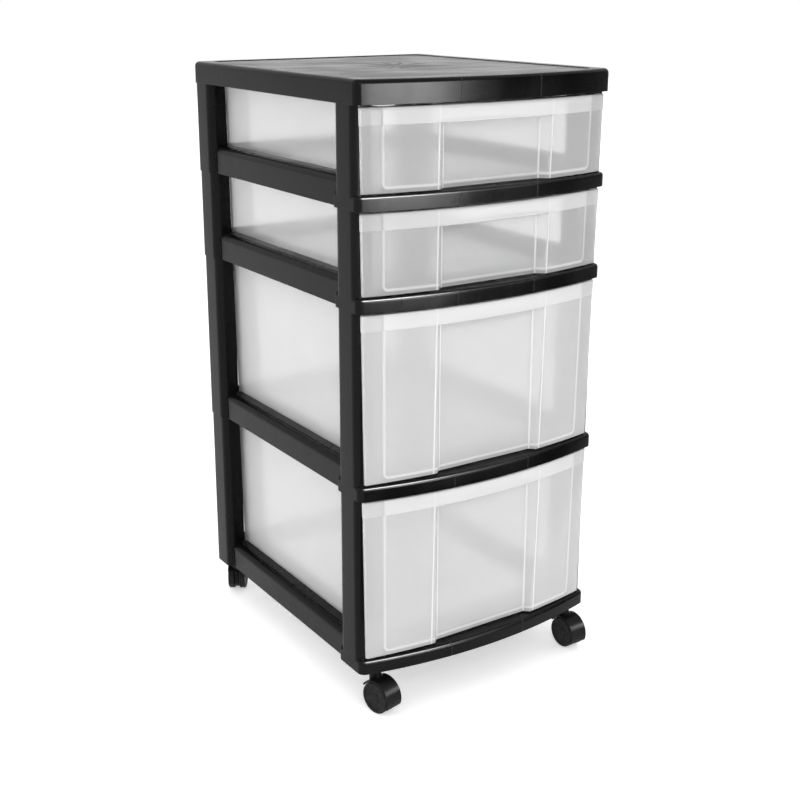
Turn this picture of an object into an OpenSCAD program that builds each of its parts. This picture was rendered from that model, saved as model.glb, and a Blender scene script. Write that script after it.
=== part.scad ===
// Drawer tower on casters: four stacked frames, a top cover, two shallow and two deep
// drawers, and four twin-wheel casters. Millimetres, +Z up, the floor at z = 0.
// The front faces -Y. The origin is the middle of the footprint.

/* [Cabinet] */
// Width of the top cover
cover_w = 310; // [290:1:330]
// Depth of the top cover at its corners
cover_d = 350; // [320:1:380]
// Height of the top cover
cover_h = 23.5; // [19:0.5:30]
// How far the front bows out past its corners
front_bow = 20; // [12:1:28]
// How far each tier is set in from the one above, on each side
tier_step = 0.8; // [0.4:0.1:1.2]
// Height of each of the two lower tiers
deep_tier_h = 193.5; // [150:0.5:230]
// Height of each of the two upper tiers
shallow_tier_h = 98.7; // [85:0.1:130]
// Wall of the cover and the frames
frame_wall = 2.5; // [2:0.1:3]
// Radius of the upright corners
corner_r = 8; // [6:0.5:10]

/* [Top cover] */
// Radius of the cover's top edge
cover_edge_r = 5; // [3:0.5:7]
// Width of the border round the tray in the top
tray_border = 16; // [12:1:25]
// Depth of the tray in the top
tray_depth = 0.8; // [0.4:0.1:1.5]
// Corner radius of the tray
tray_r = 15; // [8:1:25]

/* [Frames] */
// Height of the front rail
front_rail_h = 14.8; // [12.5:0.1:16]
// Radius of the front rail's top edge
front_rail_edge_r = 3.5; // [2:0.5:5]
// Depth of a post, front to back
post_d = 38; // [32:1:44]
// Width of a post, side to side
post_w = 19.2; // [17:0.2:20.4]
// How far the front posts stand behind the front rail's corners
post_setback = 4.9; // [4.2:0.1:8]
// Radius of a post's edge beside the window
window_r = 9.5; // [6:0.5:12]
// Height of the side and rear rails
rail_h = 30; // [26:1:36]
// How far a rail's face lies inside the post's face
rail_recess = 5.5; // [4:0.5:7]
// Width of a side rail
side_rail_w = 19.5; // [18.5:0.5:20.5]
// Width of the rear rail
rear_rail_w = 11.5; // [10:0.5:14]
// How far a rear post's back wall reaches in from the side
rear_flange_w = 38; // [30:1:60]
// Radius of a rail's outer top edge
rail_edge_r = 7.5; // [4:0.5:8]
// Width of the groove behind a side rail's rounded edge
rail_groove_w = 1.4; // [0.8:0.2:2]
// Depth of that groove
rail_groove_d = 1.2; // [0.4:0.2:1.4]
// Height of the runner's top face above the frame's underside
runner_z = 18; // [16:0.5:20]
// Width of the runner inside the side rail
runner_w = 8; // [6:0.5:9]
// Height of the bead at a side rail's rear end, off the rail's face
bead_h = 0.8; // [0.4:0.1:1.2]
// Width of that bead
bead_w = 2.2; // [1:0.2:3]
// How far a post's tongue goes into the piece above
tongue_h = 8; // [5:1:12]
// Wall of a tongue
tongue_wall = 2; // [1.5:0.1:2.5]
// Gap round a tongue
tongue_gap = 0.3; // [0.2:0.05:0.5]
// Radius of the fillet at a post's head, in the window's top corner
head_fillet_r = 5; // [2:0.5:8]

/* [Drawers] */
// Wall of a drawer's front
front_wall = 2.2; // [1.8:0.1:2.6]
// Wall of a drawer's box
box_wall = 2; // [1.6:0.1:2.4]
// Height of a drawer front's lower edge above the frame's underside
front_z = 16.3; // [15.4:0.1:17.5]
// Gap between a drawer and the frame or cover above it
top_gap = 2.3; // [1.5:0.1:3.5]
// How far a drawer's front lies inside the frame's side face
front_margin = 5.3; // [4:0.1:7]
// How far a drawer's front lies behind the front rail's face
front_inset = 2.3; // [1.5:0.1:3]
// Slope of the drawer front's side edges, degrees
front_draft = 0.8; // [0.4:0.1:1.2]
// Backward lean of the front's middle towards its lower edge, degrees
front_lean = 1.6; // [0.8:0.1:2]
// Radius of the front's upright corners
front_corner_r = 2.5; // [1:0.25:2.75]
// Radius of the front's top edge
front_edge_r = 1.4; // [0.8:0.1:1.8]
// Height of the band above the finger recess
band_h = 17.2; // [13:0.2:22]
// How far the band stands proud of the front below it
band_step = 0.5; // [0.3:0.1:0.8]
// Width of the finger recess at its back
pull_w = 118; // [90:2:140]
// Depth of the finger recess behind the front's middle
pull_depth = 13.5; // [10:0.5:15]
// How much wider the recess gets on each side, for each millimetre of depth
pull_flare = 1.05; // [0.5:0.05:1.4]
// Distance from the frame's side face to the drawer's box, at its top
box_margin = 26; // [24.5:0.5:27.5]
// Slope of the box's sides, degrees
box_draft = 0.45; // [0.2:0.05:0.6]
// Upright corner radius of the box
box_corner_r = 7; // [6:0.5:12]
// Radius of the box's lower edge
box_edge_r = 4; // [3:0.5:5.5]
// Width of the rim round the top of the box
box_rim_w = 4; // [3:0.2:4.6]
// Gap between a drawer's floor and its runners
runner_gap = 0.3; // [0.2:0.05:0.5]
// Gap between a drawer's box and the rear rail
rear_gap = 2; // [1:0.5:5]
// Gap between a drawer's front and the posts behind it
post_gap = 0.3; // [0.2:0.05:0.5]

/* [Casters] */
// Height of the bottom frame above the floor
ride_h = 47; // [46:0.5:55]
// Diameter of a wheel
wheel_d = 34.5; // [32:0.5:36]
// Width of a wheel
wheel_w = 7.6; // [6:0.2:9]
// Distance from the swivel axis to the wheel axle
trail = 8.5; // [6:0.5:10]
// Thickness of the web between the wheels
web_w = 5; // [4.5:0.1:6]
// Gap between a wheel and the web beside it
wheel_gap = 0.4; // [0.3:0.05:0.6]
// Wall of the fender over the wheels
fender_wall = 1.8; // [1.4:0.1:2.4]
// Gap between a wheel's tread and the fender
tread_gap = 0.8; // [0.5:0.1:1.2]
// How far the fender reaches down in front, degrees from straight up
fender_front = 112; // [95:1:118]
// How far the fender reaches down behind, degrees from straight up
fender_rear = 58; // [50:1:70]
// Diameter of the neck
neck_d = 13; // [12:0.5:15]
// Diameter of the stem
stem_d = 8; // [7:0.5:9]
// Running gap round a stem or an axle
pin_gap = 0.05; // [0.03:0.01:0.08]
// Gap between a neck and the bottom frame
neck_gap = 0.3; // [0.2:0.05:0.5]
// Diameter of a wheel axle
axle_d = 4; // [3:0.25:5]
// Diameter of a caster socket in the bottom frame
socket_d = 15; // [13.5:0.5:16]
// Distance from the frame's side face to the swivel axis
caster_margin = 22.5; // [21:0.5:24]
// Distance from the frame's front corners to the front swivel axes
caster_front = 7.8; // [7:0.2:10]
// Distance from the frame's rear face to the rear swivel axes
caster_rear = 9.8; // [9:0.2:13]

/* [Hidden] */
TIERS = ["bottom", "lower", "upper", "top"];
CASTERS = ["front_left", "front_right", "rear_left", "rear_right"];
// How far each caster is turned from facing straight forward, in degrees
caster_turn = [13.4, 1.2, 145, 215];

// Each node name is a place name and a piece name
function named(places, pieces) = [for (p = places) for (q = pieces) str(p, "_", q)];

black = "#1b1b1d";
tyre_black = "#141416";
frosted = "#e9ebec";
steel = "#b9bcc0";

tier_count = len(TIERS);
tier_h = [deep_tier_h, deep_tier_h, shallow_tier_h, shallow_tier_h];
cover_level = tier_count;
bow_steps = 36;
corner_steps = 6;
edge_steps = 4;
past = 1;
round_fn = 64;

// Half width and half depth of a level: 0 is the bottom frame, and the cover is the last
function half_w(level) = cover_w / 2 - tier_step * (cover_level - level);
function half_d(level) = cover_d / 2 - tier_step * (cover_level - level);
function tier_z(level) = level == 0 ? ride_h : tier_z(level - 1) + tier_h[level - 1];

wheel_r = wheel_d / 2;
fender_in_r = wheel_r + tread_gap;
fender_r = fender_in_r + fender_wall;
caster_w = web_w + 2 * (wheel_gap + wheel_w);
socket_depth = front_rail_h - frame_wall;
stem_end_gap = 0.3;
stem_top = ride_h + socket_depth - stem_end_gap;
stem_low = wheel_r + fender_r;
ring_h = 1.2;
ring_z = stem_top - 4.5;
groove_r = stem_d / 2 - 0.6;

// Places of the swivel axes, from the middle of the frames
function caster_x(c) = (c % 2 == 0 ? -1 : 1) * (half_w(0) - caster_margin);
function caster_y(c) = c < 2 ? caster_front - half_d(0) : half_d(0) - caster_rear;

// The origin is the middle of the whole footprint, from the bow's crest to the rear casters
function caster_reach(c) = caster_y(c) - trail * cos(caster_turn[c])
    + fender_r * abs(cos(caster_turn[c])) + caster_w / 2 * abs(sin(caster_turn[c]));
rear_reach = max(half_d(cover_level), caster_reach(2), caster_reach(3));
origin_y = (half_d(cover_level) + front_bow - rear_reach) / 2;

// ---------- outlines ----------

// Points along an arc from one angle to another
function arc(centre, r, from, to, steps) =
    [for (i = [0 : steps]) centre + r * [cos(from + (to - from) * i / steps), sin(from + (to - from) * i / steps)]];

// Radius of a front that bows out by `bow` over a half width
function bow_radius(half, bow) = (half * half + bow * bow) / (2 * bow);

// How far that front has fallen back at a distance x from the middle
function bow_fall(half, bow, x) = bow_radius(half, bow) - sqrt(pow(bow_radius(half, bow), 2) - x * x);

// Outline with a straight back and sides and a bowed front. front_y is where the front's
// corners would be if they were sharp, and inset draws in all but the back.
function bowed(half, front_y, back_y, bow, front_r, back_r, inset = 0) =
    let (
        centre_y = front_y - bow + bow_radius(half, bow),
        reach = bow_radius(half, bow) - inset,
        w = half - inset,
        r = max(front_r - inset, 0.4),
        b = max(back_r - inset, 0.4),
        corner_x = w - r,
        corner_y = centre_y - sqrt(pow(reach - r, 2) - corner_x * corner_x),
        lean = asin(corner_x / (reach - r)),
        front = arc([0, centre_y], reach, 270 - lean, 270 + lean, bow_steps)
    )
    concat(
        arc([corner_x, corner_y], r, lean - 90, 0, corner_steps),
        arc([w - b, back_y - b], b, 0, 90, corner_steps),
        arc([b - w, back_y - b], b, 90, 180, corner_steps),
        arc([-corner_x, corner_y], r, 180, 270 - lean, corner_steps),
        [for (i = [1 : bow_steps - 1]) front[i]]
    );

// Rectangle with its own radius at each end of its outer side; the inner side is square
function post_outline(x_in, x_out, y0, y1, r0, r1) =
    concat([[x_in, y1], [x_in, y0]],
        arc([x_out - r0, y0 + r0], r0, 270, 360, corner_steps),
        arc([x_out - r1, y1 - r1], r1, 0, 90, corner_steps));

// Rectangle with round corners
function rounded(half, y0, y1, r) =
    concat(arc([half - r, y0 + r], r, 270, 360, corner_steps), arc([half - r, y1 - r], r, 0, 90, corner_steps),
        arc([r - half, y1 - r], r, 90, 180, corner_steps), arc([r - half, y0 + r], r, 180, 270, corner_steps));

module slab(points, z0, z1) {
    translate([0, 0, z0])
        linear_extrude(z1 - z0)
            polygon(points);
}

module both_sides() {
    children();
    mirror([1, 0, 0])
        children();
}

// Solid through outlines that have as many points each, one at each height
module loft(outlines, heights) {
    n = len(outlines[0]);
    last = len(heights) - 1;
    sides = [for (k = [0 : last - 1]) for (i = [0 : n - 1])
        let (a = k * n + i, b = k * n + (i + 1) % n, c = b + n, d = a + n)
            each [[d, c, b], [d, b, a]]];
    polyhedron(
        points = [for (k = [0 : last]) for (p = outlines[k]) [p.x, p.y, heights[k]]],
        faces = concat([[for (i = [0 : n - 1]) i]], sides, [[for (i = [n - 1 : -1 : 0]) last * n + i]])
    );
}

// Bowed block, upright below and rounded along its top edge; the back stays upright
// where back_inset is 0
module round_topped(half, front_y, back_y, back_r, h, edge_r, back_inset) {
    turns = [for (i = [0 : edge_steps]) 90 * i / edge_steps];
    insets = concat([0], [for (turn = turns) edge_r * (1 - cos(turn))]);
    heights = concat([0], [for (turn = turns) h - edge_r + edge_r * sin(turn)]);
    outlines = [for (inset = insets)
        bowed(half, front_y, back_y - back_inset * inset, front_bow, corner_r, back_r, inset)];
    loft(outlines, heights);
}

// ---------- top cover ----------

module top_cover() {
    half = half_w(cover_level);
    deep = half_d(cover_level);
    roof = cover_h - tray_depth - frame_wall;
    color(black)
        translate([0, origin_y, tier_z(cover_level)])
            difference() {
                round_topped(half, -deep, deep, corner_r, cover_h, cover_edge_r, 1);
                slab(bowed(half, -deep, deep - frame_wall, front_bow, corner_r, corner_r, frame_wall), -past, roof);
                slab(rounded(half - tray_border, cover_edge_r - deep, deep - tray_border + cover_edge_r, tray_r),
                    cover_h - tray_depth, cover_h + past);
            }
}

// ---------- frames ----------

module front_rail(half, deep) {
    back_y = post_setback + post_d - deep;
    difference() {
        round_topped(half, -deep, back_y, frame_wall, front_rail_h, front_rail_edge_r, 0);
        slab(bowed(half, -deep, back_y - frame_wall, front_bow, corner_r, corner_r, frame_wall),
            -past, front_rail_h - frame_wall);
    }
}

// Post on the right-hand side: an open channel, boxed in over the height of the rails,
// with a tongue on its head for the piece above. r0 and r1 are its edges' radii.
module post(half, y0, y1, r0, r1, h) {
    inner = half - post_w;
    difference() {
        slab(post_outline(inner, half, y0, y1, r0, r1), 0, h);
        slab(post_outline(inner + frame_wall, half - frame_wall, y0 + frame_wall, y1 - frame_wall,
            r0 - frame_wall, r1 - frame_wall), -past, h + past);
        slab([[inner - past, y0 + frame_wall], [inner + frame_wall + past, y0 + frame_wall],
            [inner + frame_wall + past, y1 - frame_wall], [inner - past, y1 - frame_wall]], rail_h, h + past);
    }
}

// A tongue clears the walls of the next piece up, whose posts are set out by one step.
// front_out is true where the post's outer corner is at its front, and false at its rear.
module tongue(half, y0, y1, front_out, h) {
    near = frame_wall - tier_step + tongue_gap;
    far = frame_wall + tier_step + tongue_gap;
    x0 = half - post_w + far;
    x1 = half - near;
    ya = y0 + (front_out ? near : far);
    yb = y1 - (front_out ? far : near);
    r0 = (front_out ? corner_r : window_r) - frame_wall;
    r1 = (front_out ? window_r : corner_r) - frame_wall;
    difference() {
        slab(post_outline(x0, x1, ya, yb, r0, r1), h - tongue_h, h + tongue_h);
        slab(post_outline(x0 + tongue_wall, x1 - tongue_wall, ya + tongue_wall, yb - tongue_wall,
            r0 - tongue_wall, r1 - tongue_wall), h - tongue_h - past, h + tongue_h + past);
    }
}

// Fillet between a post's window side and the rail above; way is 1 where the window is at +Y
module head_fillet(half, y, way, h) {
    translate([half - post_w, y, h])
        mirror([0, way > 0 ? 0 : 1, 0])
            difference() {
                translate([0, -past, -head_fillet_r])
                    cube([post_w - window_r, head_fillet_r + past, head_fillet_r]);
                translate([-past, head_fillet_r, -head_fillet_r])
                    rotate([0, 90, 0])
                        cylinder(r = head_fillet_r, h = post_w, $fn = round_fn);
            }
}

// Cross section of a rail, x inwards from its face and z up; hollow from below
function rail_outline(w, h, r) = concat([[w, 0], [w, h]], arc([r, h - r], r, 90, 180, corner_steps), [[0, 0]]);

module rail_bar(w, length) {
    end = 2 * frame_wall;
    difference() {
        linear_extrude(length)
            polygon(rail_outline(w, rail_h, rail_edge_r));
        translate([frame_wall, -past, end])
            linear_extrude(length - 2 * end)
                polygon(rail_outline(w - 2 * frame_wall, rail_h - frame_wall + past, rail_edge_r - frame_wall));
    }
}

module side_rail(half, y0, y1) {
    face = half - rail_recess;
    inner = face - side_rail_w;
    root = frame_wall / 2;
    length = y1 - y0 + 2 * root;
    difference() {
        translate([face, y1 + root, 0])
            rotate([90, 0, 0])
                mirror([1, 0, 0])
                    rail_bar(side_rail_w, length);
        translate([face - rail_edge_r - rail_groove_w, y0, rail_h - rail_groove_d])
            cube([rail_groove_w, y1 - y0, rail_groove_d + past]);
    }
    translate([inner - runner_w, y0 - root, runner_z - frame_wall])
        cube([runner_w + root, length, frame_wall]);
    translate([face - past, y1 - bead_w, 0])
        cube([past + bead_h, bead_w + root, rail_h - rail_edge_r]);
}

module rear_rail(half, deep) {
    reach = half - post_w + frame_wall / 2;
    translate([-reach, deep - rail_recess, 0])
        rotate([90, 0, 90])
            mirror([1, 0, 0])
                rail_bar(rear_rail_w, 2 * reach);
}

module frame(level) {
    half = half_w(level);
    deep = half_d(level);
    h = tier_h[level];
    front = post_setback - deep;
    rear = deep - post_d;
    color(black)
        translate([0, origin_y, tier_z(level)])
            difference() {
                union() {
                    front_rail(half, deep);
                    rear_rail(half, deep);
                    both_sides() {
                        post(half, front, front + post_d, corner_r, window_r, h);
                        post(half, rear, deep, window_r, corner_r, h);
                        tongue(half, front, front + post_d, true, h);
                        tongue(half, rear, deep, false, h);
                        head_fillet(half, front + post_d, 1, h);
                        head_fillet(half, rear, -1, h);
                        side_rail(half, front + post_d, rear);
                        translate([half - rear_flange_w, deep - frame_wall, 0])
                            cube([rear_flange_w - post_w + past, frame_wall, h]);
                    }
                    if (level == 0)
                        for (c = [0 : len(CASTERS) - 1])
                            translate([caster_x(c), caster_y(c), 0])
                                cylinder(d = socket_d, h = front_rail_h, $fn = round_fn);
                }
                if (level == 0)
                    for (c = [0 : len(CASTERS) - 1])
                        translate([caster_x(c), caster_y(c), -past])
                            cylinder(d = stem_d + 2 * pin_gap, h = socket_depth + past, $fn = round_fn);
            }
}

// ---------- drawers ----------

// Outline of a drawer's front at a height below its top edge
function front_outline(level, drop, back_y, inset) =
    let (
        half = half_w(level) - front_margin,
        fall = bow_fall(half_w(level), front_bow, half),
        corner_y = front_inset - front_bow - half_d(level) + fall
    )
    bowed(half - drop * tan(front_draft), corner_y, back_y, fall - drop * tan(front_lean),
        front_corner_r, 0.4, inset);

// Solid of a drawer's front, drawn in by `wall` on its front, sides, top and bottom. Its
// outside, where `wall` is 0, steps in below the band.
module front_block(level, back_y, wall) {
    top = tier_h[level] - top_gap;
    band_z = top - band_h + band_step;
    step = wall > 0 ? 0 : band_step;
    turns = [for (i = [0 : edge_steps]) 90 * i / edge_steps];
    insets = concat([step, step, 0], [for (turn = turns) front_edge_r * (1 - cos(turn))]);
    heights = concat([front_z + wall, band_z, band_z + band_step],
        [for (turn = turns) top - wall - front_edge_r + front_edge_r * sin(turn)]);
    outlines = [for (k = [0 : len(heights) - 1])
        front_outline(level, max(top - wall - heights[k] - front_edge_r, 0), back_y, wall + insets[k])];
    loft(outlines, heights);
}

// Finger recess, grown by `wall` for the skin behind it
module pull_recess(level, wall) {
    crest = front_inset - front_bow - half_d(level);
    back = crest + pull_depth + wall;
    front = crest - past;
    half = pull_w / 2 + wall * pull_flare;
    wide = half + (back - front) * pull_flare;
    slab([[-wide, front], [wide, front], [half, back], [-half, back]],
        front_z - past - wall, tier_h[level] - top_gap - band_h + wall);
}

// Box of a drawer, drawn in by `wall`; its sides draw in towards the floor, and it runs
// up to the height `top`
module box_block(level, wall, rear_y, top) {
    half = half_w(level) - box_margin - wall;
    front_y = -half_d(level) - front_bow;
    low = runner_z + runner_gap + wall;
    rim = tier_h[level] - top_gap;
    r = box_corner_r - wall;
    edge = box_edge_r - wall;
    turns = [for (i = [0 : edge_steps]) 90 * i / edge_steps];
    heights = concat([for (turn = turns) low + edge * (1 - cos(turn))], [top]);
    insets = concat([for (turn = turns) edge * (1 - sin(turn))], [0]);
    outlines = [for (k = [0 : edge_steps + 1])
        let (in = insets[k] + (rim - heights[k]) * tan(box_draft))
            rounded(half - in, front_y, rear_y - wall - in, r - insets[k] / 2)];
    loft(outlines, heights);
}

module drawer(level) {
    post_y = post_setback - half_d(level);
    front_back = post_y - post_gap;
    rear_y = half_d(level) - rail_recess - rear_rail_w - rear_gap;
    top = tier_h[level] - top_gap;
    rim_half = half_w(level) - box_margin + box_rim_w;
    color(frosted)
        translate([0, origin_y, tier_z(level)])
            union() {
                difference() {
                    front_block(level, front_back, 0);
                    pull_recess(level, 0);
                    difference() {
                        front_block(level, front_back + past, front_wall);
                        pull_recess(level, front_wall);
                    }
                }
                difference() {
                    union() {
                        box_block(level, 0, rear_y, top);
                        slab(rounded(rim_half, front_back, rear_y + box_rim_w, box_corner_r + box_rim_w), top - box_wall, top);
                    }
                    box_block(level, box_wall, rear_y, top + past);
                    difference() {
                        translate([-half_w(level), -half_d(level) - 2 * front_bow, 0])
                            cube([2 * half_w(level), 2 * front_bow + post_setback - post_gap, tier_h[level]]);
                        difference() {
                            front_block(level, front_back + past, front_wall / 2);
                            pull_recess(level, front_wall / 2);
                        }
                    }
                }
            }
}

// ---------- casters ----------

// Puts a caster's own frame in place: its swivel axis is z, and its axle lies towards -Y
module at_caster(c) {
    translate([caster_x(c), caster_y(c) + origin_y, 0])
        rotate([0, 0, caster_turn[c]])
            children();
}

module across(x, h, r) {
    translate([x, -trail, wheel_r])
        rotate([0, 90, 0])
            cylinder(r = r, h = h, $fn = round_fn);
}

module stem(c) {
    color(steel)
        at_caster(c)
            difference() {
                translate([0, 0, stem_low])
                    cylinder(d = stem_d, h = stem_top - stem_low, $fn = round_fn);
                translate([0, 0, ring_z])
                    difference() {
                        cylinder(d = stem_d + 2 * past, h = ring_h + 2 * pin_gap, $fn = round_fn);
                        translate([0, 0, -past])
                            cylinder(r = groove_r, h = ring_h + 2 * past, $fn = round_fn);
                    }
            }
}

module snap_ring(c) {
    color(steel)
        at_caster(c)
            translate([0, 0, ring_z + pin_gap])
                difference() {
                    cylinder(d = stem_d, h = ring_h, $fn = round_fn);
                    translate([0, 0, -past])
                        cylinder(r = groove_r + pin_gap, h = ring_h + 2 * past, $fn = round_fn);
                    translate([0, -stem_d / 6, -past])
                        cube([stem_d, stem_d / 3, ring_h + 2 * past]);
                }
}

// The fender is the part of a drum between two planes through the axle
module fender_sector() {
    reach = 2 * fender_r;
    translate([0, -trail, wheel_r])
        rotate([0, 90, 0])
            translate([0, 0, -caster_w / 2])
                linear_extrude(caster_w)
                    polygon(concat([[0, 0]], arc([0, 0], reach, 180 - fender_rear, 180 + fender_front, 8)));
}

module hood(c) {
    color(black)
        at_caster(c)
            difference() {
                union() {
                    intersection() {
                        across(-caster_w / 2, caster_w, fender_r);
                        fender_sector();
                    }
                    across(-web_w / 2, web_w, wheel_r - fender_wall);
                    translate([0, 0, wheel_r])
                        cylinder(d = neck_d, h = ride_h - neck_gap - wheel_r, $fn = round_fn);
                }
                both_sides()
                    across(web_w / 2, caster_w, fender_in_r);
                across(-caster_w, 2 * caster_w, axle_d / 2 + pin_gap);
                translate([0, 0, stem_low - stem_end_gap])
                    cylinder(d = stem_d + 2 * pin_gap, h = ride_h, $fn = round_fn);
            }
}

axle_end = web_w / 2 + wheel_gap + wheel_w - 2;

module axle(c) {
    color(steel)
        at_caster(c)
            across(-axle_end, 2 * axle_end, axle_d / 2);
}

// Right-hand wheel: a rounded tread, a dished outer face, and a blind bore for the axle
module wheel_solid() {
    edge = 1.6;
    dish = 0.9;
    rim_in = wheel_r - 3.2;
    hub_r = 5.2;
    translate([web_w / 2 + wheel_gap, -trail, wheel_r])
        rotate([0, 90, 0])
            difference() {
                rotate_extrude($fn = round_fn)
                    polygon(concat([[0, 0], [wheel_r - edge / 2, 0], [wheel_r, edge / 2]],
                        arc([wheel_r - edge, wheel_w - edge], edge, 0, 90, corner_steps),
                        [[rim_in, wheel_w], [rim_in - dish, wheel_w - dish], [hub_r + dish, wheel_w - dish],
                            [hub_r, wheel_w], [0, wheel_w]]));
                translate([0, 0, -past])
                    cylinder(d = axle_d + 2 * pin_gap, h = axle_end - web_w / 2 - wheel_gap + past + stem_end_gap,
                        $fn = round_fn);
            }
}

module wheel(c, side) {
    color(tyre_black)
        at_caster(c)
            mirror([side < 0 ? 1 : 0, 0, 0])
                wheel_solid();
}

// ---------- nodes ----------

top_cover();
for (t = [0 : tier_count - 1]) {
    frame(t);
    drawer(t);
}
for (c = [0 : len(CASTERS) - 1]) {
    stem(c);
    snap_ring(c);
    hood(c);
    axle(c);
    wheel(c, -1);
    wheel(c, 1);
}
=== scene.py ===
"""Looks of a plastic drawer tower on casters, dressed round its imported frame.

Lengths are in metres, +Z is up and the tower's front faces -Y.
"""

import math

import bpy
from mathutils import Euler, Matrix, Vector


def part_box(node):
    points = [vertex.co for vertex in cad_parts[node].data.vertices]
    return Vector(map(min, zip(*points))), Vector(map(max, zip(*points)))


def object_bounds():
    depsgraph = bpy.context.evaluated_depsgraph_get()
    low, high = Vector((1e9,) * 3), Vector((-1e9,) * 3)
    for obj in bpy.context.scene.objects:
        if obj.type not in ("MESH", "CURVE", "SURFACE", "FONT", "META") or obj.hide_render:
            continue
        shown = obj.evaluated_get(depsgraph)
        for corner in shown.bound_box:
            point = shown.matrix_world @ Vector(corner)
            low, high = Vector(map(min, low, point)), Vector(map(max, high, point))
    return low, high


MM = 0.001
TIERS = ("bottom", "lower", "upper", "top")

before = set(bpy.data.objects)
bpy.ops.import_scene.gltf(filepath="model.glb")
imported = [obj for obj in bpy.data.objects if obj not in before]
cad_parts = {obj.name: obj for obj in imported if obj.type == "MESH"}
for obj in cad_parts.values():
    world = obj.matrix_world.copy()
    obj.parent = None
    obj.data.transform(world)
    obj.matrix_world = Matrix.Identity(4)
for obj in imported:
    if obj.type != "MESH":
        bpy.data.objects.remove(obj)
cad_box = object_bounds()
low, high = cad_box
centre = (low + high) / 2


# ---------- camera ----------

PHOTO_SIDE = 800  # pixels
SENSOR = 36.0  # millimetres, the long side
FOCAL_PX = 1270  # focal length in pixels of the photograph
CAMERA_AT = (-0.767, -1.172, 0.736)
CAMERA_YAW = 33.2  # degrees from +Y towards +X
CAMERA_PITCH = 15.9  # degrees down
CAMERA_SHIFT = (0.008, -0.065)


def make_camera():
    data = bpy.data.cameras.new("camera")
    data.sensor_width = SENSOR
    data.lens = FOCAL_PX / PHOTO_SIDE * SENSOR
    data.shift_x, data.shift_y = CAMERA_SHIFT
    camera = bpy.data.objects.new("camera", data)
    camera.location = CAMERA_AT
    turn = (math.radians(90 - CAMERA_PITCH), 0, math.radians(-CAMERA_YAW))
    camera.rotation_euler = Euler(turn)
    bpy.context.scene.collection.objects.link(camera)
    bpy.context.scene.camera = camera


# ---------- shader trees ----------


class Tree:
    """A node tree built by short calls.

    A socket's value may be a number, a colour or another socket.
    """

    def __init__(self, tree):
        self.tree = tree
        tree.nodes.clear()

    def add(self, kind, values=None, **fields):
        node = self.tree.nodes.new("ShaderNode" + kind)
        for field, value in fields.items():
            setattr(node, field, value)
        for socket, value in (values or {}).items():
            self.put(node.inputs[socket], value)
        return node

    def put(self, socket, value):
        if isinstance(value, bpy.types.NodeSocket):
            self.tree.links.new(value, socket)
        else:
            socket.default_value = value

    def math(self, operation, a, b=0.0):
        return self.add("Math", {0: a, 1: b}, operation=operation).outputs[0]

    def plus(self, a, b):
        return self.math("ADD", a, b)

    def minus(self, a, b):
        return self.math("SUBTRACT", a, b)

    def size(self, value):
        return self.math("ABSOLUTE", value)

    def most(self, a, b):
        return self.math("MAXIMUM", a, b)

    def product(self, first, *others):
        for other in others:
            first = self.math("MULTIPLY", first, other)
        return first

    def vector(self, operation, a, b=(0, 0, 0)):
        return self.add("VectorMath", {0: a, 1: b}, operation=operation).outputs

    def fit(self, value, from_low, from_high, to_low, to_high):
        """The value's place between two numbers, carried over smoothly to between two others."""
        node = self.add("MapRange", {0: value}, interpolation_type="SMOOTHSTEP")
        for socket, number in enumerate((from_low, from_high, to_low, to_high), 1):
            node.inputs[socket].default_value = number
        return node.outputs[0]

    def before(self, value, edge, blur=0.2 * MM):
        """1 where the value is below the edge, and 0 above it."""
        return self.fit(value, edge - blur, edge + blur, 1, 0)

    def beyond(self, value, edge, blur=0.2 * MM):
        return self.fit(value, edge - blur, edge + blur, 0, 1)

    def noise(self, place, scale, stretch=(1, 1, 1), detail=2.0):
        spread = self.add("Mapping", {"Vector": place, "Scale": stretch})
        values = {"Vector": spread.outputs[0], "Scale": scale, "Detail": detail}
        return self.add("TexNoise", values).outputs["Fac"]

    def blend(self, share, one, other):
        node = self.add("Mix", data_type="RGBA")
        self.put(node.inputs["Factor"], share)
        self.put(node.inputs["A"], one)
        self.put(node.inputs["B"], other)
        return node.outputs["Result"]


class Surface(Tree):
    """A material that ends in one Principled shader, with the object's own coordinates."""

    def __init__(self, material):
        super().__init__(material.node_tree)
        self.shader = self.add("BsdfPrincipled")
        self.add("OutputMaterial", {"Surface": self.shader.outputs[0]})
        self.place = self.add("TexCoord").outputs["Object"]
        axes = self.add("SeparateXYZ", {0: self.place})
        self.x, self.y, self.z = axes.outputs
        self.across = self.size(self.x)

    def set(self, socket, value):
        self.put(self.shader.inputs[socket], value)

    def feed(self, socket):
        """What feeds a socket of the shader so far."""
        return self.shader.inputs[socket].links[0].from_socket

    def paint_over(self, share, colour):
        self.set("Base Color", self.blend(share, self.feed("Base Color"), colour))

    def relief(self, height, depth, strength=1.0):
        """Bump of that depth in metres, on top of any relief set before."""
        values = {"Height": height, "Distance": depth, "Strength": strength}
        if self.shader.inputs["Normal"].links:
            values["Normal"] = self.feed("Normal")
        self.set("Normal", self.add("Bump", values).outputs[0])


def grey(level):
    return (level, level, level, 1.0)


def new_material(name):
    material = bpy.data.materials.new(name)
    material.use_nodes = True
    return material


# ---------- black plastic ----------

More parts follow.
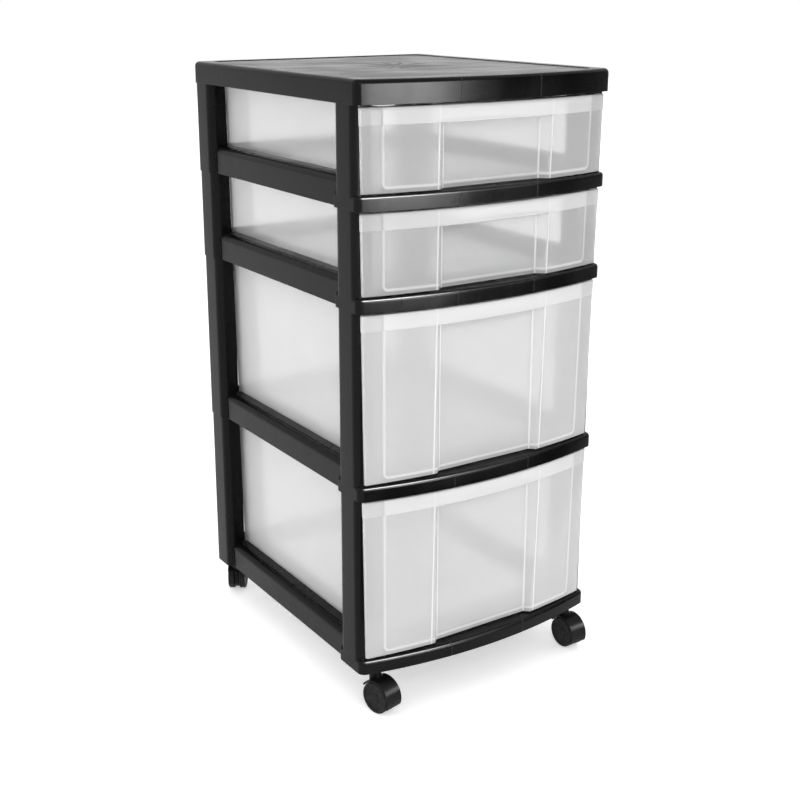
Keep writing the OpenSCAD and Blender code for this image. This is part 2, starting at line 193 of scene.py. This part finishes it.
SEAM_X = 48 * MM  # the mould's insert lines, each side of a front rail's middle
SEAM_HALF = 0.6 * MM
SEAM_DEPTH = 0.6 * MM
RAIL_REACH = 30 * MM  # how far behind the tower's front a front rail's face can lie
# The insert lines are painted this lighter grey as a painted highlight, for the light their edges
# catch; their groove is a real bump.
SEAM_HIGHLIGHT_GREY = 0.022
BLUSH_START = 6 * MM  # where the dull streaks round the cover's middle are strongest
BLUSH_RADIUS = 75 * MM  # their reach
BLUSH_SPREAD = 7  # how finely they divide round the middle
BLUSH_DRIFT = 14  # how fast they change along their length
BLUSH_DEPTH = 3 * MM  # how far under the cover's top they still show
BLUSH_ROUGH = 0.3
CABINET_BLACK = 0.0035
CASTER_BLACK = 0.005
WHEEL_BLACK = 0.01
DUST_GREY = 0.03
BLACK_IOR = 1.5
BLACK_GLOSS = 0.1
ZINC_TINTS = ((0.50, 0.51, 0.52, 1), (0.68, 0.69, 0.70, 1))


def black_plastic(slot, level, rough_low, rough_high, grain_depth):
    """Injection-moulded black plastic: cloudy gloss, drawn-out flow marks and a fine skin."""
    surface = Surface(bpy.data.materials[slot])
    cloud = surface.noise(surface.place, scale=16, stretch=(1, 1, 0.35), detail=4)
    flow = surface.noise(surface.place, scale=46, stretch=(0.12, 1, 1), detail=5)
    skin = surface.noise(surface.place, scale=1500, detail=1)
    tint = surface.fit(cloud, 0.3, 0.7, 0, 1)
    surface.set("Base Color", surface.blend(tint, grey(level * 0.75), grey(level * 1.3)))
    gloss = surface.plus(surface.product(cloud, 0.6), surface.product(flow, 0.4))
    surface.set("Roughness", surface.fit(gloss, 0.35, 0.65, rough_low, rough_high))
    surface.set("IOR", BLACK_IOR)
    surface.set("Specular IOR Level", BLACK_GLOSS)
    surface.relief(skin, grain_depth)
    surface.relief(flow, depth=60e-6, strength=0.5)
    return surface


def gate_blush(surface):
    """Dull streaks that run out from the middle of the cover, where the mould was filled."""
    cover_low, cover_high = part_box("top_cover")
    back = surface.minus(surface.y, (cover_low.y + cover_high.y) / 2)
    flat = surface.add("CombineXYZ", {0: surface.x, 1: back}).outputs[0]
    radius = surface.vector("LENGTH", flat)["Value"]
    spread = (BLUSH_SPREAD, BLUSH_SPREAD, 0)
    ray = surface.vector("MULTIPLY", surface.vector("NORMALIZE", flat)[0], spread)[0]
    drift = surface.add("CombineXYZ", {2: surface.product(radius, BLUSH_DRIFT)}).outputs[0]
    values = {"Vector": surface.vector("ADD", ray, drift)[0], "Scale": 1.0, "Detail": 4.0}
    streaks = surface.add("TexNoise", values).outputs["Fac"]
    near = surface.fit(radius, BLUSH_START, BLUSH_RADIUS, 1, 0)
    top = surface.beyond(surface.z, high.z - BLUSH_DEPTH)
    return surface.product(surface.fit(streaks, 0.48, 0.66, 0, 1), near, top)


def cabinet_plastic():
    surface = black_plastic(
        "cabinet_plastic", CABINET_BLACK, rough_low=0.2, rough_high=0.32, grain_depth=12e-6
    )
    dull = surface.product(gate_blush(surface), BLUSH_ROUGH)
    surface.set("Roughness", surface.plus(surface.feed("Roughness"), dull))
    off_seam = surface.size(surface.minus(surface.across, SEAM_X))
    on_front = surface.before(surface.y, low.y + RAIL_REACH)
    seam = surface.product(surface.before(off_seam, SEAM_HALF), on_front)
    surface.relief(seam, -SEAM_DEPTH)
    # painted highlight: the seam is painted a lighter grey over its real groove
    surface.paint_over(seam, grey(SEAM_HIGHLIGHT_GREY))


def caster_plastic():
    black_plastic(
        "caster_plastic", CASTER_BLACK, rough_low=0.26, rough_high=0.36, grain_depth=16e-6
    )


def wheel_plastic():
    """Harder, duller plastic, a little dusty."""
    surface = black_plastic(
        "wheel_plastic", WHEEL_BLACK, rough_low=0.38, rough_high=0.52, grain_depth=20e-6
    )
    dust = surface.noise(surface.place, scale=220, detail=3)
    surface.paint_over(surface.fit(dust, 0.45, 0.8, 0, 1), grey(DUST_GREY))


def steel():
    """Bright zinc-plated steel with drawn scratches."""
    surface = Surface(bpy.data.materials["steel"])
    drawn = surface.noise(surface.place, scale=300, stretch=(1, 1, 0.05), detail=3)
    share = surface.fit(drawn, 0.3, 0.7, 0, 1)
    surface.set("Base Color", surface.blend(share, *ZINC_TINTS))
    surface.set("Metallic", 1.0)
    surface.set("Roughness", surface.fit(drawn, 0.3, 0.7, 0.22, 0.4))
    surface.relief(drawn, depth=20e-6)


# ---------- drawer plastic ----------

FRONT_DEPTH = 22.3 * MM  # from the front's crest to its back
BOX_INSET = 20.7 * MM  # from the front's side edge to the outside of the box, at the rim
BOX_SLOPE = math.tan(math.radians(0.45))
BOX_WALL = 2.0 * MM
BOX_CORNER = 5.0 * MM
FLOOR_RISE = 5.0 * MM  # from the front's lower edge to the middle of the line of the floor
BAND_DROP = 16.7 * MM  # from the drawer's top to its front band's lower edge
RECESS_BACK = 59 * MM  # half the finger recess's width at its back
RECESS_MOUTH = 69 * MM  # half its width where it opens in the front
DEEP = 150 * MM  # a drawer that is higher than this is a deep one
UPRIGHT_CORE = 0.3 * MM  # half the width at which an upright line is at its full strength
UPRIGHT_REACH = 1.3 * MM  # half the width at which it has faded out

SHALLOW_CLEAR = 0.72  # share of the light that a shallow drawer's plastic lets through
DEEP_CLEAR = 0.57
EDGE_CLEAR = 0.1
SHALLOW_ROUGH = (0.1, 0.15)
DEEP_ROUGH = (0.14, 0.2)
BAND_MILK = 0.22  # how much less the band lets through
FLANGE_MILK = 0.4  # how much of that is left outside the box's walls
PAINTED_WALL_LINE_MILK = 0.26  # how much less the front lets through along the line of the box's walls: a painted highlight, a pale line for the light the walls' ends catch
PAINTED_RECESS_LINE_MILK = 0.34  # how much less the front lets through at the finger recess's edges: painted highlights, pale lines for the light those edges catch
MOUTH_IN_BAND = 0.15  # how much of the recess's mouth line is left where the band covers it
CLEAR_TINTS = ((0.975, 0.98, 0.98, 1), (0.995, 0.995, 0.992, 1))
EDGE_TINTS = ((0.95, 0.955, 0.955, 1), (0.99, 0.99, 0.99, 1))
CLEAR_IOR = 1.42
CLEAR_GLOSS = 0.2


def wall_distance(surface, box_low, box_high):
    """How far a point of the front lies outside the line of the box's walls and floor.

    The line is a U with round corners, and their radius is added to the distance.
    """
    drop = surface.minus(box_high.z, surface.z)
    rim_half = box_high.x - BOX_INSET - BOX_WALL / 2
    half = surface.minus(rim_half - BOX_CORNER, surface.product(drop, BOX_SLOPE))
    out_x = surface.minus(surface.across, half)
    out_z = surface.minus(box_low.z + FLOOR_RISE + BOX_CORNER, surface.z)
    past_x = surface.most(out_x, 0.0)
    past_z = surface.most(out_z, 0.0)
    squares = surface.plus(surface.product(past_x, past_x), surface.product(past_z, past_z))
    inside = surface.math("MINIMUM", surface.most(out_x, out_z), 0.0)
    return surface.plus(surface.math("SQRT", squares), inside)


def upright_line(surface, place):
    off = surface.size(surface.minus(surface.across, place))
    return surface.fit(off, UPRIGHT_CORE, UPRIGHT_REACH, 1, 0)


def front_milk_and_painted_lines(surface, box_low, box_high):
    """How much milkier the front is at its band, with painted highlights as pale lines along the
    box's walls and the recess's edges.
    """
    far = wall_distance(surface, box_low, box_high)
    off = surface.size(surface.minus(far, BOX_CORNER))
    line = surface.fit(off, 0.1 * BOX_WALL, 1.2 * BOX_WALL, 1, 0)
    band = surface.beyond(surface.z, box_high.z - BAND_DROP)
    below = surface.minus(1.0, band)
    back = surface.product(upright_line(surface, RECESS_BACK), below)
    fade = surface.fit(band, 0, 1, 1, MOUTH_IN_BAND)
    mouth = surface.product(upright_line(surface, RECESS_MOUTH), fade)
    recess = surface.product(surface.most(back, mouth), PAINTED_RECESS_LINE_MILK)
    lines = surface.most(surface.product(line, below, PAINTED_WALL_LINE_MILK), recess)
    flange = surface.fit(far, BOX_CORNER - 1 * MM, BOX_CORNER + 2 * MM, 1, FLANGE_MILK)
    return surface.plus(lines, surface.product(band, flange, BAND_MILK))


def drawer_plastic(name):
    """Frosted clear polypropylene: it lets shapes through softened, and its body is milky."""
    box_low, box_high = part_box(name)
    deep = box_high.z - box_low.z > DEEP
    material = new_material(name + "_plastic")
    surface = Surface(material)
    haze = surface.noise(surface.place, scale=9, stretch=(1, 1, 0.6), detail=3)
    streaks = surface.noise(surface.place, scale=60, stretch=(1, 1, 0.06), detail=4)
    skin = surface.noise(surface.place, scale=900, detail=2)
    surface.set("Base Color", surface.blend(haze, *CLEAR_TINTS))
    front = surface.before(surface.y, box_low.y + FRONT_DEPTH)
    # the band's milk, and pale lines painted along the walls and the recess's edges as highlights
    milk_and_painted_lines = surface.product(front_milk_and_painted_lines(surface, box_low, box_high), front)
    surface.set("Transmission Weight", surface.minus(DEEP_CLEAR if deep else SHALLOW_CLEAR, milk_and_painted_lines))
    smoothest, roughest = DEEP_ROUGH if deep else SHALLOW_ROUGH
    surface.set("Roughness", surface.fit(streaks, 0.3, 0.7, smoothest, roughest))
    surface.set("IOR", CLEAR_IOR)
    surface.set("Specular IOR Level", CLEAR_GLOSS)
    surface.relief(skin, depth=10e-6)
    surface.relief(streaks, depth=40e-6, strength=0.5)
    return material


def drawer_edge():
    """The same plastic where an edge gathers light and shows as a pale line."""
    material = new_material("drawer_edge")
    surface = Surface(material)
    cloud = surface.noise(surface.place, scale=120, detail=3)
    surface.set("Base Color", surface.blend(cloud, *EDGE_TINTS))
    surface.set("Roughness", surface.fit(cloud, 0.3, 0.7, 0.2, 0.3))
    surface.set("Transmission Weight", EDGE_CLEAR)
    return material


# ---------- edges ----------

# Edge radius of each slot's pieces
EDGE_RADIUS = {
    "cabinet_plastic": 0.45 * MM,
    "drawer_plastic": 0.7 * MM,
    "caster_plastic": 0.3 * MM,
    "wheel_plastic": 0.25 * MM,
    "steel": 0.15 * MM,
}
EDGE_STEPS = 2
WELD_REACH = 0.001 * MM
FLAT = math.radians(0.1)
SHARP = math.radians(30)
LARGE_FACE_WEIGHT = 80


def slot_of(node):
    return node.data.materials[0].name


def soften_edges(node, radius):
    """Gives a node's sharp edges a small radius, as a mould or a tool leaves them."""
    weld = node.modifiers.new("weld", "WELD")
    weld.merge_threshold = WELD_REACH
    planar = node.modifiers.new("planar", "DECIMATE")
    planar.decimate_type = "DISSOLVE"
    planar.angle_limit = FLAT
    bevel = node.modifiers.new("bevel", "BEVEL")
    bevel.width = radius
    bevel.segments = EDGE_STEPS
    bevel.limit_method = "ANGLE"
    bevel.angle_limit = SHARP
    bevel.use_clamp_overlap = True
    shading = node.modifiers.new("shading", "WEIGHTED_NORMAL")
    shading.weight = LARGE_FACE_WEIGHT
    return bevel


def dress_drawers():
    edge = drawer_edge()
    for tier in TIERS:
        name = tier + "_drawer"
        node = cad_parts[name]
        bevel = soften_edges(node, EDGE_RADIUS["drawer_plastic"])
        node.data.materials[0] = drawer_plastic(name)
        node.data.materials.append(edge)
        bevel.material = 1


def dress_nodes():
    cabinet_plastic()
    caster_plastic()
    wheel_plastic()
    steel()
    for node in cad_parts.values():
        if slot_of(node) != "drawer_plastic":
            soften_edges(node, EDGE_RADIUS[slot_of(node)])
    dress_drawers()


# ---------- studio ----------

FLOOR_SIDE = 14.0
WORLD_LIGHT = 0.99
FLOOR_PAINT = 0.86
FLOOR_GLOW = 0.42
CARD_PAINT = 0.02
CARD_LIFT = 4 * MM  # of the low card above the floor


def seen_plainly(tree):
    """1 for a ray that shows the background: from the camera, off a gloss or through plastic."""
    path = tree.add("LightPath").outputs
    seen = tree.most(path["Is Camera Ray"], path["Is Glossy Ray"])
    return tree.most(seen, path["Is Transmission Ray"])


def make_world():
    world = bpy.data.worlds.new("studio")
    world.use_nodes = True
    bpy.context.scene.world = world
    tree = Tree(world.node_tree)
    light = tree.add("Background", {"Color": grey(1), "Strength": WORLD_LIGHT})
    plain = tree.add("Background", {"Color": grey(1), "Strength": 1.0})
    mix = tree.add("MixShader", {0: seen_plainly(tree)})
    tree.put(mix.inputs[1], light.outputs[0])
    tree.put(mix.inputs[2], plain.outputs[0])
    tree.add("OutputWorld", {"Surface": mix.outputs[0]})


def stage_plane(name, at, size, material):
    """A flat rectangle that faces up until it is turned, and isn't part of the object."""
    x, y = size[0] / 2, size[1] / 2
    mesh = bpy.data.meshes.new(name)
    mesh.from_pydata([(-x, -y, 0), (x, -y, 0), (x, y, 0), (-x, y, 0)], [], [(0, 1, 2, 3)])
    mesh.materials.append(material)
    plane = bpy.data.objects.new(name, mesh)
    plane.location = at
    bpy.context.scene.collection.objects.link(plane)
    return plane


def make_floor():
    """A pale floor that catches the tower's shadow and is white where nothing shades it."""
    material = new_material("floor")
    tree = Tree(material.node_tree)
    paint = tree.add("BsdfDiffuse", {"Color": grey(FLOOR_PAINT)})
    glow = tree.add("Emission", {"Color": grey(1), "Strength": FLOOR_GLOW})
    both = tree.add("AddShader")
    tree.put(both.inputs[0], paint.outputs[0])
    tree.put(both.inputs[1], glow.outputs[0])
    mix = tree.add("MixShader", {0: seen_plainly(tree)})
    tree.put(mix.inputs[1], paint.outputs[0])
    tree.put(mix.inputs[2], both.outputs[0])
    tree.add("OutputMaterial", {"Surface": mix.outputs[0]})
    stage_plane("floor", (0, 0, 0), (FLOOR_SIDE, FLOOR_SIDE), material)


def aim_at(thing, target):
    thing.rotation_euler = (Vector(target) - thing.location).to_track_quat("-Z", "Y").to_euler()


def make_cards():
    """Black cards that only reflections show, so that the black plastic reads black."""
    material = new_material("card")
    tree = Tree(material.node_tree)
    paint = tree.add("BsdfDiffuse", {"Color": grey(CARD_PAINT)})
    tree.add("OutputMaterial", {"Surface": paint.outputs[0]})
    side = stage_plane("card_right", (2.6, -2.4, 1.0), (3.6, 2.6), material)
    aim_at(side, centre)
    down = stage_plane("card_low", (1.15, -1.3, CARD_LIFT), (2.9, 1.9), material)
    for card in (side, down):
        card.visible_camera = card.visible_diffuse = False
        card.visible_transmission = card.visible_shadow = False


def softbox(name, at, size, watts, aim):
    data = bpy.data.lights.new(name, "AREA")
    data.shape = "RECTANGLE"
    data.size, data.size_y = size
    data.energy = watts
    light = bpy.data.objects.new(name, data)
    light.location = at
    aim_at(light, aim)
    bpy.context.scene.collection.objects.link(light)
    return light


def shine_on(light, nodes):
    """Lets a light show only as a gloss, and only on those nodes."""
    parts = bpy.data.collections.new(light.name + "_parts")
    for node in nodes:
        parts.objects.link(node)
    light.visible_diffuse = light.visible_transmission = False
    light.light_linking.receiver_collection = parts


def make_lights():
    softbox("key", at=(-0.7, -2.2, 1.7), size=(1.1, 1.1), watts=14, aim=centre)
    softbox("side", at=(-2.2, 0.3, 1.3), size=(0.8, 1.4), watts=6, aim=centre)
    softbox("back", at=(1.8, 1.6, 2.4), size=(1.0, 1.0), watts=9, aim=centre)
    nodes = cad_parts.values()
    casters = [node for node in nodes if slot_of(node) in ("caster_plastic", "wheel_plastic")]
    cabinet = [node for node in nodes if slot_of(node) == "cabinet_plastic"]
    frames = [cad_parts[tier + "_frame"] for tier in TIERS]
    front = softbox(
        "gleam_front", at=(0.68, -3.2, 0.68), size=(1.25, 1.3), watts=190, aim=(0.68, 0, 0.68)
    )
    shine_on(front, cabinet + casters)
    above = softbox(
        "gleam_above", at=(0.3, -1.9, 2.2), size=(1.3, 0.9), watts=800, aim=(0.3, 0, 0.4)
    )
    shine_on(above, frames)
    beside = softbox(
        "gleam_beside", at=(1.35, -1.15, 0.7), size=(0.35, 0.5), watts=24, aim=(0, -0.17, 0.02)
    )
    shine_on(beside, casters)


make_camera()
make_world()
make_floor()
make_cards()
make_lights()
dress_nodes()

bpy.context.scene.view_settings.view_transform = "Standard"
